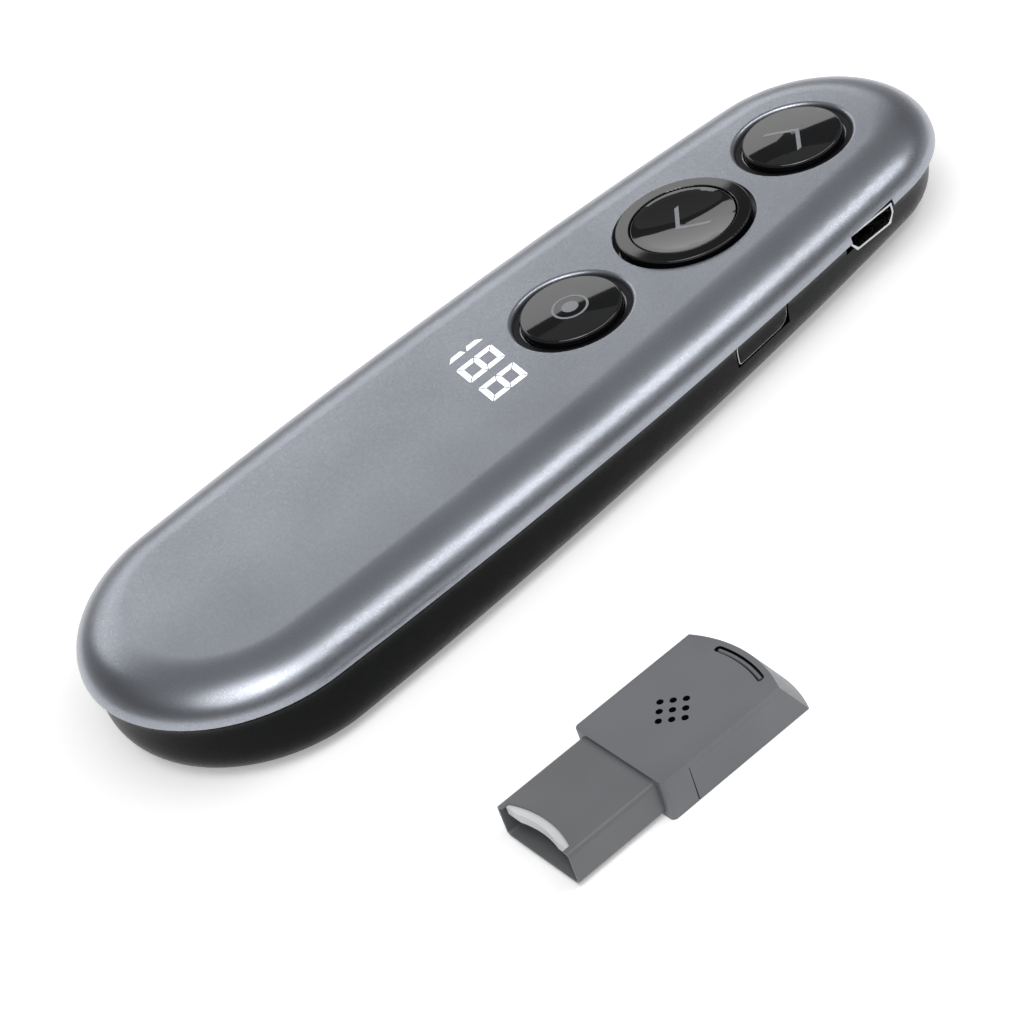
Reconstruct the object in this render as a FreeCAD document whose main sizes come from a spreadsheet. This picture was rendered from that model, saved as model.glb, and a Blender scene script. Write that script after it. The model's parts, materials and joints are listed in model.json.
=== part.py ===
"""Wireless presentation clicker with its plug-in receiver, as a parametric assembly.

The clicker lies along X with its nose at +X, its buttons face +Z and its flat underside is at zero
height. The receiver lies beside it on the same surface. All lengths are in millimetres.
"""
import FreeCAD, Part
import Sketcher
import math
import os
import re

os.makedirs("parts", exist_ok=True)
doc = FreeCAD.newDocument("presentation_clicker")
Vector = FreeCAD.Vector
UP = Vector(0, 0, 1)

SIZES = {
    # case outline and heights
    "case_length": 128, "tail_radius": 19.4, "nose_radius": 16.4, "side_radius": 650,
    "seam_height": 9.2, "upper_height": 4.3, "edge_roll": 7.0,
    "base_tail_inset": 1.5, "base_tail_radius": 18.9, "base_nose_inset": 2.2,
    "base_nose_radius": 11.5, "base_side_radius": 620, "base_round": 3.6,
    "shell_overhang": 0.06, "seam_gap": 0.15,
    "wall": 1.5, "floor_thickness": 1.5, "top_thickness": 1.6,
    "roof_slope": 4.4, "base_cavity_inset": 2.8, "overrun": 1.0,
    # round buttons on the top
    "middle_button_setback": 36.1, "button_spacing": 19.0,
    "cap_radius": 6.3, "cap_proud": 0.6, "cap_round": 0.35, "cap_dome": 0.15,
    "well_rim_radius": 7.5, "well_foot_radius": 7.3, "well_depth": 0.8,
    "seal_gap": 0.3, "seal_thickness": 0.25,
    "button_gap": 0.15, "button_float": 0.1, "button_travel": 0.6,
    "flange_width": 0.85, "flange_thickness": 0.7, "boss_radius": 2.2,
    "dish_radius": 6.6, "dish_depth": 0.6, "dish_drop": 0.1, "dish_round": 0.12,
    "bezel_radius": 8.45, "bezel_groove": 0.5, "bezel_proud": 0.6, "bezel_round": 0.2,
    "bezel_inner_round": 0.1, "bezel_flange_width": 0.65, "bezel_flange_thickness": 0.8,
    "indicator_radius": 0.45, "indicator_gap": 0.02, "indicator_reach": 7.35, "indicator_offset": 0.35,
    # light marks set into the caps
    "mark_depth": 0.25, "mark_proud": 0.02,
    "chevron_depth": 2.8, "chevron_half_width": 3.15, "chevron_stroke": 0.7,
    "icon_ring_radius": 2.3, "icon_stroke": 0.3, "icon_dot_radius": 1.05,
    # number display
    "digit_height": 5.6, "digit_width": 3.5, "digit_pitch": 5.2, "digit_stroke": 0.75,
    "digit_gap": 0.12, "digit_setback": 8.43, "digit_left_y": 9.55, "digit_shift": 0.92,
    "guide_margin": 1.0, "guide_thickness": 0.8, "display_margin": 0.5,
    # circuit board and its parts
    "board_bottom": 5.95, "board_thickness": 1.2, "board_bay_gap": 3.0,
    "board_nose_setback": 14.5, "board_side_gap": 6.6, "board_corner": 3.0,
    "tail_standoff_inset": 3.5, "tail_standoff_edge": 1.4, "nose_standoff_inset": 14.0,
    "nose_standoff_edge": 4.0, "standoff_radius": 1.9,
    "board_screw_radius": 0.7, "board_screw_depth": 3.0, "board_screw_head_radius": 1.3,
    "board_screw_head_height": 0.8, "board_hole_radius": 0.9,
    "switch_size": 6.0, "switch_height": 2.2, "plunger_radius": 1.5, "plunger_reach": 0.75,
    "plunger_depth": 0.4, "plunger_gap": 0.15, "plunger_end_room": 0.2,
    "chip_setback": 7.0, "chip_size": 5.0, "chip_height": 0.9, "crystal_length": 3.2,
    "crystal_width": 2.5, "crystal_height": 0.7, "charger_setback": 4.3, "charger_y": -3.5,
    "charger_size": 3.0, "capacitor_setback": 6.0, "capacitor_y": -9.5,
    "capacitor_pitch": 2.4, "capacitor_length": 1.6, "capacitor_width": 0.8,
    "capacitor_height": 0.8,
    # battery over the receiver bay
    "battery_setback": 10.0, "battery_display_gap": 2.4, "battery_side_gap": 0.3,
    "battery_height": 3.6, "battery_gap": 0.2, "pad_margin": 2.0, "pad_share": 0.38, "tab_width": 3.0,
    "tab_thickness": 0.4, "tab_offset": 4.5, "tab_length": 1.7,
    # charging port
    "port_setback": 21.7, "port_width": 7.5, "port_height": 2.6, "port_depth": 5.4,
    "port_wall": 0.3, "port_reach": 0.2, "port_shoulder": 1.25, "port_corner": 0.8,
    "port_gap": 0.3, "port_tongue_width": 3.8, "port_tongue_thickness": 0.6,
    "port_tongue_drop": 0.35, "port_tongue_setback": 1.0, "port_contact_pitch": 0.65,
    "port_contact_width": 0.35, "port_contact_thickness": 0.1, "port_contact_length": 3.0,
    # side key
    "key_setback": 41.7, "key_width": 9.1, "key_low": 5.3, "key_seam_gap": 0.45,
    "key_nose_corner": 1.7, "key_tail_corner": 0.5, "key_gap": 0.2, "key_travel": 0.5,
    "key_depth": 3.4, "key_flange_width": 0.9, "key_flange_thickness": 0.7,
    "key_flange_height": 1.45,
    "side_switch_gap": 1.4, "side_switch_width": 5.2, "side_switch_depth": 3.2,
    "side_switch_height": 2.2, "side_plunger_radius": 0.7, "side_plunger_rise": 0.9,
    "side_plunger_depth": 0.4,
    # laser pointer
    "laser_z": 6.4, "laser_nose_setback": 4.6, "laser_length": 8.5, "laser_radius": 2.9,
    "laser_bore": 1.6, "laser_bore_depth": 3.0, "lens_thickness": 0.8, "lens_setback": 0.4,
    "driver_thickness": 0.9, "driver_radius": 2.6, "window_radius": 1.65, "window_gap": 0.05,
    "window_setback": 1.6, "window_thickness": 1.5, "cradle_inset": 2.1, "cradle_length": 4.0,
    "cradle_half_width": 3.4, "cradle_gap": 0.1,
    # case screws
    "tail_post_setback": 15.0, "tail_post_y": 12.4, "middle_post_offset": 3.6,
    "middle_post_y": 9.6, "post_joint_height": 6.0, "post_radius": 2.2,
    "case_boss_radius": 2.4, "pilot_radius": 1.0, "screw_radius": 0.95,
    "screw_hole_radius": 1.1, "screw_head_radius": 1.8, "screw_head_height": 1.2,
    "counterbore_radius": 2.0, "counterbore_depth": 2.3, "screw_length": 7.5,
    "drive_radius": 0.8, "drive_depth": 0.6, "notch_gap": 0.3,
    # receiver bay in the underside
    "bay_setback": 2.8, "bay_clear": 0.2, "bay_roof": 1.2, "bay_wall": 1.1, "bay_gap": 0.25,
    # receiver
    "receiver_x": -46.5, "receiver_y": -51.3, "receiver_yaw": -2.0,
    "plug_width": 12.0, "plug_height": 4.5, "plug_length": 11.9, "plug_sheet": 0.3,
    "plug_corner": 0.7, "plug_bottom": 0.5, "plug_root": 4.0, "plug_lip": 0.6,
    "plug_notch": 1.3, "plug_notch_radius": 13.1,
    "collar_side": 1.05, "collar_top": 0.5, "collar_length": 3.6, "collar_corner": 0.6,
    "receiver_side": 16.6, "receiver_end_radius": 15.5, "receiver_end_slope": 2.8,
    "receiver_wall": 1.0, "receiver_floor": 0.8, "receiver_cover": 0.8,
    "hole_radius": 0.4, "hole_step": 1.0, "hole_setback": 7.9, "grip_setback": 0.7, "grip_shift": 0.9,
    "grip_width": 0.9, "grip_depth": 0.4, "grip_half_span": 3.9,
    "insulator_thickness": 1.2, "insulator_margin": 0.45,
    "insulator_strip": 0.9, "insulator_step": 0.8, "insulator_step_y": 4.6,
    "contact_length": 7.0, "contact_width": 1.0, "contact_thickness": 0.15,
    "contact_inner_y": 1.0, "contact_outer_y": 3.5, "contact_setback": 3.4,
    "rx_board_gap": 0.5, "rx_board_bottom": 1.7, "rx_board_thickness": 0.8, "rx_pad": 1.2,
    "rx_chip_inset": 1.8, "rx_chip_size": 3.0, "rx_chip_height": 0.8,
    "buzzer_radius": 3.8, "buzzer_height": 1.6,
}
LIT_BARS = {"one": "bc", "eight": "abcdefg"}
DIGITS = ("one", "eight", "eight")

sheet = doc.addObject("Spreadsheet::Sheet", "Sizes")
for row, (alias, value) in enumerate(SIZES.items(), start=1):
    sheet.set("A%d" % row, alias)
    sheet.set("B%d" % row, str(value))
    sheet.setAlias("B%d" % row, alias)
doc.recompute()

FUNCTIONS = ("sqrt", "sin", "cos", "tan", "deg")


# Small builders shared by all pieces

def sized(expression):
    """Point each name in an expression at its cell of the sheet."""
    def cell(match):
        word = match.group(0)
        return word if word in FUNCTIONS else "Sizes." + word
    return re.sub(r"[A-Za-z_]\w*", cell, str(expression))


def number(expression):
    return float(sheet.evalExpression(sized(expression)))


def bind(item, **properties):
    """Bind properties of an object to expressions of named sizes."""
    for name, expression in properties.items():
        item.setExpression(name, sized(expression))
    return item


def put(item, x="0", y="0", z="0"):
    """Bind the place of an object."""
    for axis, expression in zip("xyz", (x, y, z)):
        item.setExpression("Placement.Base." + axis, sized(expression))
    return item


def box(name, low, high):
    """Box between two corners given as expressions."""
    item = doc.addObject("Part::Box", name)
    spans = ["(%s) - (%s)" % (b, a) for a, b in zip(low, high)]
    bind(item, Length=spans[0], Width=spans[1], Height=spans[2])
    return put(item, *low)


def rod(name, radius, length, x="0", y="0", z="0", axis="Z"):
    """Cylinder from a point along +Z, +X or +Y."""
    item = doc.addObject("Part::Cylinder", name)
    turns = {"Z": (UP, 0), "X": (Vector(0, 1, 0), 90), "Y": (Vector(1, 0, 0), -90)}
    item.Placement = FreeCAD.Placement(Vector(), FreeCAD.Rotation(*turns[axis]))
    bind(item, Radius=radius, Height=length)
    return put(item, x, y, z)


def cone(name, foot_radius, rim_radius, height, x, y, z):
    item = doc.addObject("Part::Cone", name)
    bind(item, Radius1=foot_radius, Radius2=rim_radius, Height=height)
    return put(item, x, y, z)


def fuse(name, pieces):
    item = doc.addObject("Part::MultiFuse", name)
    item.Shapes = pieces
    return item


def cut(name, base, tools):
    item = doc.addObject("Part::Cut", name)
    item.Base = base
    item.Tool = tools[0] if len(tools) == 1 else fuse(name + "_tools", tools)
    return item


def common(name, pieces):
    item = doc.addObject("Part::MultiCommon", name)
    item.Shapes = pieces
    return item


def group(name, pieces):
    """Separate solids that share one node."""
    item = doc.addObject("Part::Compound", name)
    item.Links = pieces
    return item


def fix(sketch, kind, *places, size=None):
    """Add a constraint, bound to an expression where it has a size."""
    if size is None:
        return sketch.addConstraint(Sketcher.Constraint(kind, *places))
    index = sketch.addConstraint(Sketcher.Constraint(kind, *places, number(size)))
    sketch.setExpression("Constraints[%d]" % index, sized(size))
    return index


def outline(name, z, tail_end, tail_radius, nose_end, nose_radius, side_radius):
    """Closed outline of a tail arc, a nose arc and two long side arcs, all tangent."""
    sketch = doc.addObject("Sketcher::SketchObject", name)
    put(sketch, z=z)
    tail_centre = "(%s) + (%s)" % (tail_end, tail_radius)
    nose_centre = "(%s) - (%s)" % (nose_end, nose_radius)
    side, tail, nose = number(side_radius), number(tail_radius), number(nose_radius)
    tail_x, nose_x = number(tail_centre), number(nose_centre)
    span = nose_x - tail_x
    along = ((side - tail) ** 2 - (side - nose) ** 2 + span ** 2) / (2 * span)
    side_x = tail_x + along
    side_y = math.sqrt((side - tail) ** 2 - along ** 2)
    nose_turn = math.atan2(side_y, nose_x - side_x)
    tail_turn = math.atan2(side_y, tail_x - side_x)
    arcs = ((nose_x, 0, nose, -nose_turn, nose_turn),
            (side_x, -side_y, side, nose_turn, tail_turn),
            (tail_x, 0, tail, tail_turn, 2 * math.pi - tail_turn),
            (side_x, side_y, side, -tail_turn, -nose_turn))
    for x, y, radius, start, end in arcs:
        sketch.addGeometry(Part.ArcOfCircle(Part.Circle(Vector(x, y, 0), UP, radius), start, end))
    for first in range(4):
        fix(sketch, "Tangent", first, 2, (first + 1) % 4, 1)
    for arc, centre, radius in ((0, nose_centre, nose_radius), (2, tail_centre, tail_radius)):
        fix(sketch, "PointOnObject", arc, 3, -1)
        fix(sketch, "DistanceX", -1, 1, arc, 3, size=centre)
        fix(sketch, "Radius", arc, size=radius)
    fix(sketch, "Equal", 1, 3)
    fix(sketch, "Radius", 1, size=side_radius)
    return sketch


def profile(name, points, arcs=None, plane="XY", x="0", y="0", z="0"):
    """Closed outline through points; arcs maps an edge to its radius and to the side it bulges to.

    The side is 1 where the edge's centre lies on its left and -1 where it lies on its right.
    """
    arcs = arcs or {}
    sketch = doc.addObject("Sketcher::SketchObject", name)
    turns = {"XY": (UP, 0), "XZ": (Vector(1, 0, 0), 90), "YZ": (Vector(1, 1, 1), 120)}
    sketch.Placement = FreeCAD.Placement(Vector(), FreeCAD.Rotation(*turns[plane]))
    put(sketch, x, y, z)
    spots = [Vector(number(a), number(b), 0) for a, b in points]
    starts, ends = [], []
    for edge, spot in enumerate(spots):
        following = spots[(edge + 1) % len(spots)]
        if edge not in arcs:
            sketch.addGeometry(Part.LineSegment(spot, following))
            starts.append((edge, 1))
            ends.append((edge, 2))
            continue
        radius, side = number(arcs[edge][0]), arcs[edge][1]
        chord = following - spot
        left = Vector(-chord.y, chord.x, 0).normalize()
        reach = math.sqrt(max(radius ** 2 - chord.Length ** 2 / 4, 0))
        centre = spot + chord / 2 + left * (side * reach)
        turns = [math.atan2(p.y - centre.y, p.x - centre.x) for p in (spot, following)]
        if side < 0:
            turns.reverse()
        sketch.addGeometry(Part.ArcOfCircle(Part.Circle(centre, UP, radius), *turns))
        starts.append((edge, 1 if side > 0 else 2))
        ends.append((edge, 2 if side > 0 else 1))
    for edge, (a, b) in enumerate(points):
        fix(sketch, "Coincident", *ends[edge - 1], *starts[edge])
        for kind, expression, axis in (("DistanceX", a, -2), ("DistanceY", b, -1)):
            if expression == "0":
                fix(sketch, "PointOnObject", *starts[edge], axis)
            else:
                fix(sketch, kind, -1, 1, *starts[edge], size=expression)
    for edge, (radius, side) in arcs.items():
        fix(sketch, "Radius", edge, size=radius)
    return sketch


def extrude(name, sketch, length, direction=UP):
    item = doc.addObject("Part::Extrusion", name)
    item.Base = sketch
    item.DirMode = "Custom"
    item.Dir = direction
    item.Solid = True
    return bind(item, LengthFwd=length)


def revolve(name, sketch):
    """Turn a profile round the Z axis."""
    item = doc.addObject("Part::Revolution", name)
    item.Source = sketch
    item.Axis = UP
    item.Angle = 360
    item.Solid = True
    return item


def loft(name, sections, ruled):
    item = doc.addObject("Part::Loft", name)
    item.Sections = sections
    item.Solid = True
    item.Ruled = ruled
    return item


nodes = []


def node(item, name):
    """Name a finished piece; its file has the same name."""
    item.Label = name
    nodes.append(item)
    return item


# Case forms

TAIL_END, NOSE_END = "(-case_length / 2)", "(case_length / 2)"
TOP = "(seam_height + upper_height)"
ROOF = "(seam_height + upper_height - top_thickness)"
BOARD_TOP = "(board_bottom + board_thickness)"
MIDDLE_X = "(case_length / 2 - middle_button_setback)"
FRONT_X = "(%s + button_spacing)" % MIDDLE_X
REAR_X = "(%s - button_spacing)" % MIDDLE_X
KEY_X = "(case_length / 2 - key_setback)"
TAIL_SIDE, NOSE_SIDE = "(side_radius - tail_radius)", "(side_radius - nose_radius)"
END_SPAN = "(case_length - tail_radius - nose_radius)"
SIDE_RUN = "((%s^2 - %s^2 + %s^2) / (2 * %s))" % (TAIL_SIDE, NOSE_SIDE, END_SPAN, END_SPAN)
SIDE_DROP = "sqrt(%s^2 - %s^2)" % (TAIL_SIDE, SIDE_RUN)
WALL_AT_KEY = ("(sqrt(side_radius^2 - (%s + case_length / 2 - tail_radius - %s)^2) - %s)"
               % (KEY_X, SIDE_RUN, SIDE_DROP))
KEY_BACK = "(key_depth - %s)" % WALL_AT_KEY
KEY_TOP = "(seam_height - key_seam_gap)"
PORT_X = "(case_length / 2 - port_setback)"
PORT_MOUTH = "(-nose_radius - port_reach)"

# Receiver sizes, which the bay in the case follows
RX_WIDTH = "(plug_width + 2 * collar_side)"
RX_HEIGHT = "(plug_bottom + plug_height + collar_top)"
RX_END = "(plug_length + receiver_side)"
BOW = "(receiver_end_radius - sqrt(receiver_end_radius^2 - %s^2 / 4))" % RX_WIDTH
BAY_DEPTH = "(%s + bay_clear)" % RX_HEIGHT
BAY_SIDE = "(-case_length / 2 + bay_setback + %s)" % BOW
BAY_SHOULDER = "(%s + receiver_end_slope + receiver_side + 2 * bay_gap)" % BAY_SIDE
BAY_FRONT = "(%s + plug_length)" % BAY_SHOULDER
BOARD_TAIL = "(%s + bay_wall + board_bay_gap)" % BAY_FRONT
BOARD_NOSE = "(case_length / 2 - board_nose_setback)"
BOARD_SIDE = "(%s - board_side_gap)" % WALL_AT_KEY
BATTERY_HALF = ("(%s - tail_standoff_edge - board_screw_head_radius - battery_side_gap)"
                % BOARD_SIDE)
LASER_NOSE = "(case_length / 2 - laser_nose_setback)"
LASER_TAIL = "(%s - laser_length)" % LASER_NOSE
CASE_SCREWS = [(x, sign + y) for x, y in (
    ("(-case_length / 2 + tail_post_setback)", "tail_post_y"),
    ("(%s + middle_post_offset)" % REAR_X, "middle_post_y")) for sign in ("-", "")]
BOARD_SCREWS = [(x, sign + y) for x, y in (
    ("(%s + tail_standoff_inset)" % BOARD_TAIL, "(%s - tail_standoff_edge)" % BOARD_SIDE),
    ("(%s - nose_standoff_inset)" % BOARD_NOSE, "(%s - nose_standoff_edge)" % BOARD_SIDE))
    for sign in ("-", "")]


def case_outline(name, z, inset, lean):
    """Case outline at a height, drawn in by an inset; lean is 1 at the base and 0 at the seam."""
    ends = (("%s + base_tail_inset * %s", TAIL_END, 1), ("%s - base_nose_inset * %s", NOSE_END, -1))
    radii = (("tail_radius", "base_tail_radius"), ("nose_radius", "base_nose_radius"),
             ("side_radius", "base_side_radius"))
    tail_end, nose_end = ["(%s) %s (%s)" % (text % (end, lean), "+" if sign > 0 else "-", inset)
                          for text, end, sign in ends]
    tail, nose, side = ["%s + (%s - %s) * (%s) - (%s)" % (top, base, top, lean, inset)
                        for top, base in radii]
    return outline(name, z, tail_end, tail, nose_end, nose, side)


ROLL_SHARES = (0, 0.25, 0.5, 0.75, 1)


def upper_form():
    """Outside of the top cover: its edge rolls over as a quarter ellipse."""
    sections = []
    for index, share in enumerate(ROLL_SHARES):
        turn = math.radians(90 * share)
        rise_share, roll_share = math.sin(turn), 1 - math.cos(turn)
        sections.append(case_outline("upper_outline_%d" % index,
                                     "seam_height + upper_height * %.6f" % rise_share,
                                     "edge_roll * %.6f" % roll_share, "0"))
    return loft("upper_form", sections, False)


def lower_form():
    """Outside of the bottom case: it leans in towards the base, most at the nose."""
    sections = []
    for index, share in enumerate(ROLL_SHARES):
        turn = math.radians(90 * share)
        rise_share, roll_share = 1 - math.cos(turn), 1 - math.sin(turn)
        height = "base_round * %.6f" % rise_share
        sections.append(case_outline("lower_outline_%d" % index, height,
                                     "shell_overhang + base_round * %.6f" % roll_share,
                                     "(1 - %s / seam_height)" % height))
    sections.append(case_outline("lower_outline_seam", "seam_height - seam_gap",
                                 "shell_overhang", "(seam_gap / seam_height)"))
    return loft("lower_form", sections, False)


def columns(name, places, radius, low, high):
    """Round posts or holes at a list of places."""
    return [rod("%s_%d" % (name, index), radius, "(%s) - (%s)" % (high, low), x, y, low)
            for index, (x, y) in enumerate(places)]


# Number display

def bar_shapes():
    """Corners of a digit's bars: how far right of its left edge, how far down from its top."""
    middle, cutback = "digit_height / 2", "digit_stroke + digit_gap"
    top = [("digit_gap", "0"), ("digit_width - digit_gap", "0"),
           ("digit_width - digit_gap - digit_stroke", "digit_stroke"), (cutback, "digit_stroke")]
    side = [("0", "digit_gap"), ("digit_stroke", cutback),
            ("digit_stroke", middle + " - digit_stroke / 2 - digit_gap"),
            ("0", middle + " - digit_gap")]
    centre = [("digit_gap", middle), (cutback, middle + " - digit_stroke / 2"),
              ("digit_width - digit_gap - digit_stroke", middle + " - digit_stroke / 2"),
              ("digit_width - digit_gap", middle),
              ("digit_width - digit_gap - digit_stroke", middle + " + digit_stroke / 2"),
              (cutback, middle + " + digit_stroke / 2")]

    def turned(bar):
        return [(across, "digit_height - (%s)" % down) for across, down in bar]

    def mirrored(bar):
        return [("digit_width - (%s)" % across, down) for across, down in bar]
    return {"a": top, "b": mirrored(side), "c": mirrored(turned(side)), "d": turned(top),
            "e": turned(side), "f": side, "g": centre}


def digit_bars(name, low, high):
    """Bars of the lit digits; further to the right they lie further towards the tail."""
    bars = []
    shapes = bar_shapes()
    for place, digit in enumerate(DIGITS):
        for letter in LIT_BARS[digit]:
            label = "%s_%d_%s" % (name, place, letter)
            points = []
            for across, down in shapes[letter]:
                right = "(digit_pitch * %d + %s)" % (place, across)
                points.append(("%s - digit_setback - (%s) - %s * digit_shift / digit_pitch"
                               % (REAR_X, down, right), "digit_left_y - " + right))
            bars.append(extrude(label, profile(label + "_outline", points, z=low),
                                "(%s) - (%s)" % (high, low)))
    return bars


# Top cover

def button_wells():
    """Sloped recesses and holes for the buttons, and the groove round the bezel."""
    wells = []
    for name, x in (("front", FRONT_X), ("rear", REAR_X)):
        wells.append(cone("well_" + name, "well_foot_radius", "well_rim_radius", "well_depth",
                          x, "0", TOP + " - well_depth"))
        wells.append(rod("well_hole_" + name, "cap_radius + button_gap",
                         "top_thickness + 2 * overrun", x, "0", ROOF + " - overrun"))
    wells.append(rod("bezel_hole", "bezel_radius + bezel_groove", "top_thickness + 2 * overrun",
                     MIDDLE_X, "0", ROOF + " - overrun"))
    return wells


def port_opening(name):
    """Room for the mouth of the charging port, through the side at the seam."""
    half = "(port_width / 2 + port_gap)"
    return box(name, (PORT_X + " - " + half, PORT_MOUTH + " - port_width",
                      BOARD_TOP + " - port_gap"),
               (PORT_X + " + " + half, PORT_MOUTH + " + port_depth + port_gap",
                BOARD_TOP + " + port_height + port_gap"))


def upper_shell():
    outside = upper_form()
    inner = [case_outline("upper_cavity_low", "seam_height - overrun", "wall", "0"),
             case_outline("upper_cavity_seam", "seam_height", "wall", "0")]
    skirt = loft("upper_cavity_skirt", inner, True)
    roof = loft("upper_cavity", [case_outline("upper_cavity_foot", "seam_height", "wall", "0"),
                                 case_outline("upper_cavity_roof", ROOF, "wall + roof_slope",
                                              "0")], True)
    hollow = cut("upper_hollow", outside, [skirt, roof])
    sleeve = columns("upper_post", CASE_SCREWS, "post_radius", "post_joint_height",
                     ROOF + " + top_thickness / 4")
    whole = fuse("upper_body", [hollow] + sleeve)
    pilots = columns("upper_pilot", CASE_SCREWS, "pilot_radius",
                     "post_joint_height - overrun", ROOF)
    tools = button_wells() + pilots + [port_opening("upper_port_opening")]
    tools += digit_bars("digit_opening", ROOF + " - overrun", TOP + " + overrun")
    return node(cut("upper_shell", whole, tools), "upper_shell")


# Bottom case

def bay_pocket():
    """Space for the receiver: an arched tail end, then a narrower end for the plug."""
    half = "(%s / 2 + bay_gap)" % RX_WIDTH
    slim = "(plug_width / 2 + bay_gap)"
    points = [(BAY_SIDE, "-" + half), (BAY_SHOULDER, "-" + half), (BAY_SHOULDER, "-" + slim),
              (BAY_FRONT, "-" + slim), (BAY_FRONT, slim), (BAY_SHOULDER, slim),
              (BAY_SHOULDER, half), (BAY_SIDE, half)]
    radius = "((%s^2 + %s^2) / (2 * %s))" % (half, BOW, BOW)
    return extrude("bay_pocket", profile("bay_outline", points, {7: (radius, 1)},
                                         z="-overrun"), BAY_DEPTH + " + overrun")


def key_opening():
    """Cut for the side key through the wall, open to the seam."""
    reach = "(key_width / 2 + key_gap)"
    return box("key_opening", (KEY_X + " - " + reach, KEY_BACK + " - key_width",
                               "key_low - key_gap"),
               (KEY_X + " + " + reach, KEY_BACK + " + wall", "seam_height + overrun"))


def lower_shell(outside):
    cavity = loft("lower_cavity", [
        case_outline("lower_cavity_floor", "floor_thickness", "base_cavity_inset",
                     "(1 - floor_thickness / seam_height)"),
        case_outline("lower_cavity_top", "seam_height", "shell_overhang + wall", "0")], True)
    hollow = cut("lower_hollow", outside, [cavity])
    half = "(%s / 2 + bay_gap + bay_wall)" % RX_WIDTH
    block = common("bay_block", [outside_copy("bay_form"), box(
        "bay_block_box", (TAIL_END, "-" + half, "floor_thickness / 2"),
        (BAY_FRONT + " + bay_wall", half, BAY_DEPTH + " + bay_roof"))])
    bosses = columns("case_boss", CASE_SCREWS, "case_boss_radius", "floor_thickness / 2",
                     "post_joint_height")
    studs = columns("standoff", BOARD_SCREWS, "standoff_radius", "floor_thickness / 2",
                    "board_bottom")
    cradle = box("laser_cradle", (LASER_TAIL + " + cradle_inset", "-cradle_half_width",
                                  "floor_thickness / 2"),
                 (LASER_TAIL + " + cradle_inset + cradle_length", "cradle_half_width",
                  "laser_z"))
    whole = fuse("lower_body", [hollow, block, cradle] + bosses + studs)
    tools = [bay_pocket(), key_opening(), port_opening("lower_port_opening"),
             rod("cradle_bore", "laser_radius + cradle_gap", "laser_length", LASER_TAIL, "0",
                 "laser_z", "X"),
             rod("nose_hole", "window_radius + window_gap", "case_length",
                 LASER_NOSE + " - lens_setback", "0", "laser_z", "X")]
    tools += columns("screw_hole", CASE_SCREWS, "screw_hole_radius", "-overrun",
                     "post_joint_height + overrun")
    tools += columns("counterbore", CASE_SCREWS, "counterbore_radius", "-overrun",
                     "counterbore_depth")
    tools += columns("board_pilot", BOARD_SCREWS, "board_screw_radius",
                     "board_bottom - board_screw_depth", "board_bottom + overrun")
    return node(cut("lower_shell", whole, tools), "lower_shell")


def outside_copy(name):
    """The bottom case's outside again, for a piece that must end flush with it."""
    item = doc.addObject("Part::Compound", name)
    item.Links = [doc.lower_form]
    return item


def screws(name, places, radius, length, head_radius, head_height, seat, upwards):
    """Screws whose heads sit on a seat; the shank points up or down from it."""
    made = []
    for index, (x, y) in enumerate(places):
        label = "%s_%d" % (name, index)
        shank_z = seat if upwards else "%s - (%s)" % (seat, length)
        head_z = "%s - %s" % (seat, head_height) if upwards else seat
        face_z = head_z if upwards else "%s + %s" % (seat, head_height)
        socket_z = face_z + (" - overrun" if upwards else " - drive_depth")
        blank = fuse(label + "_blank", [
            rod(label + "_shank", radius, length, x, y, shank_z),
            rod(label + "_head", head_radius, head_height, x, y, head_z)])
        made.append(cut(label, blank, [rod(label + "_socket", "drive_radius",
                                           "drive_depth + overrun", x, y, socket_z)]))
    return node(group(name, made), name)


# Round buttons

def cap(name, radius, rounding, edge_z, centre_z, flange_top, hollow_top, x):
    """Button cap: a top that is domed or dished, a flange that keeps it in, and a boss."""
    rim = "(%s - %s)" % (radius, rounding)
    bow = "((%s)^2 + (%s - %s)^2) / (2 * sqrt((%s - %s)^2))" % (rim, edge_z, centre_z,
                                                               edge_z, centre_z)
    flange = "(%s + button_gap + flange_width)" % radius
    foot = "(%s - flange_thickness)" % flange_top
    bottom = "(%s + switch_height + plunger_reach)" % BOARD_TOP
    points = [("0", centre_z), ("0", bottom), ("boss_radius", bottom), ("boss_radius", foot),
              (flange, foot), (flange, flange_top), (radius, flange_top),
              (radius, "%s - %s" % (edge_z, rounding)), (rim, edge_z)]
    side = -1 if hollow_top else 1
    sketch = profile(name + "_profile", points,
                     {7: (rounding, 1), 8: (bow, side)}, plane="XZ")
    return put(revolve(name + "_blank", sketch), x=x)


def chevron(name, x, sign, low, high):
    """Open arrow of two strokes; sign is -1 where it points to the tail."""
    tip = "(%s) %s chevron_depth / 2" % (x, "+" if sign > 0 else "-")
    back = "(%s) %s chevron_depth" % (tip, "-" if sign > 0 else "+")
    inner = "(%s) %s chevron_stroke" % (tip, "-" if sign > 0 else "+")
    end = "(%s) %s chevron_stroke" % (back, "-" if sign > 0 else "+")
    points = [(tip, "0"), (back, "chevron_half_width"), (end, "chevron_half_width"),
              (inner, "0"), (end, "-chevron_half_width"), (back, "-chevron_half_width")]
    return extrude(name, profile(name + "_outline", points, z=low), "(%s) - (%s)" % (high, low))


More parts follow.
